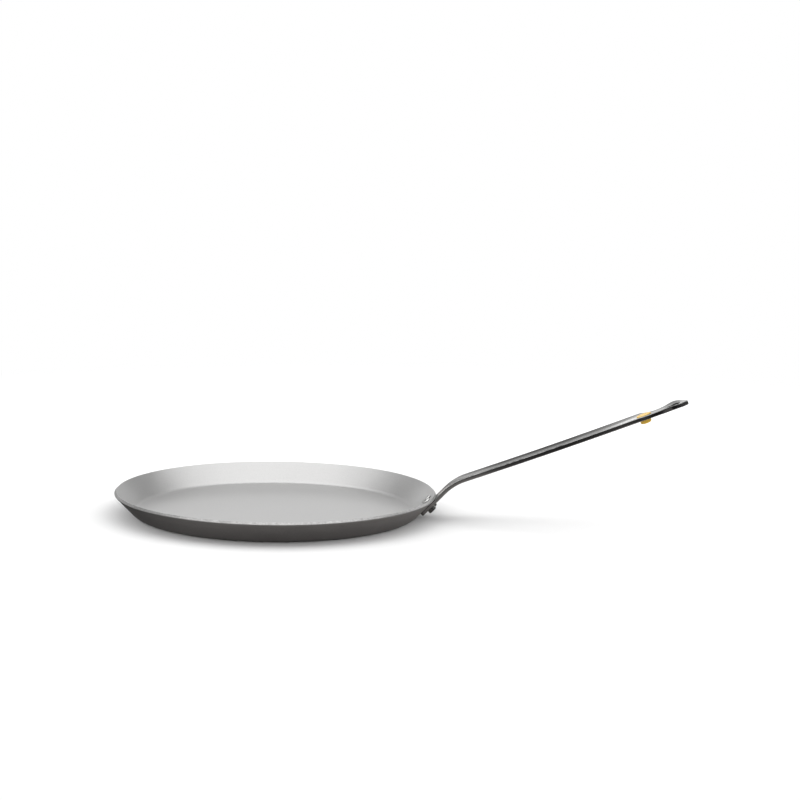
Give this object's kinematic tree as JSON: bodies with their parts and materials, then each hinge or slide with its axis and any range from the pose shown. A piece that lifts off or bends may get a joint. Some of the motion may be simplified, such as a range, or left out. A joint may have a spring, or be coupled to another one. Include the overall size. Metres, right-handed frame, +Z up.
{
  "type": "crepe pan",
  "caption": "Shallow round steel pan with a short flared wall and a long bent strip handle riveted to it, for frying thin pancakes on a stovetop.",
  "frame": {"origin": "centre of the flat base's underside, on the pan's axis", "axes": "+Z up out of the pan, +X from the pan's axis along the handle towards its tip, +Y to the left of someone who looks along the handle from the pan"},
  "size_m": [0.4241, 0.2396, 0.0933],
  "materials": {
    "pan_steel": "bare carbon steel, satin, fine turned grain",
    "handle_steel": "dark bare strip steel, satin, with rubbed lighter edges",
    "rivet_steel": "plain steel, satin",
    "button_rubber": "smooth matt yellow silicone"
  },
  "bodies": {
    "root": {"pan_body": "pan_steel", "handle": "handle_steel", "rivet_right": "rivet_steel", "rivet_left": "rivet_steel", "handle_button": "button_rubber"}
  },
  "joints": []
}
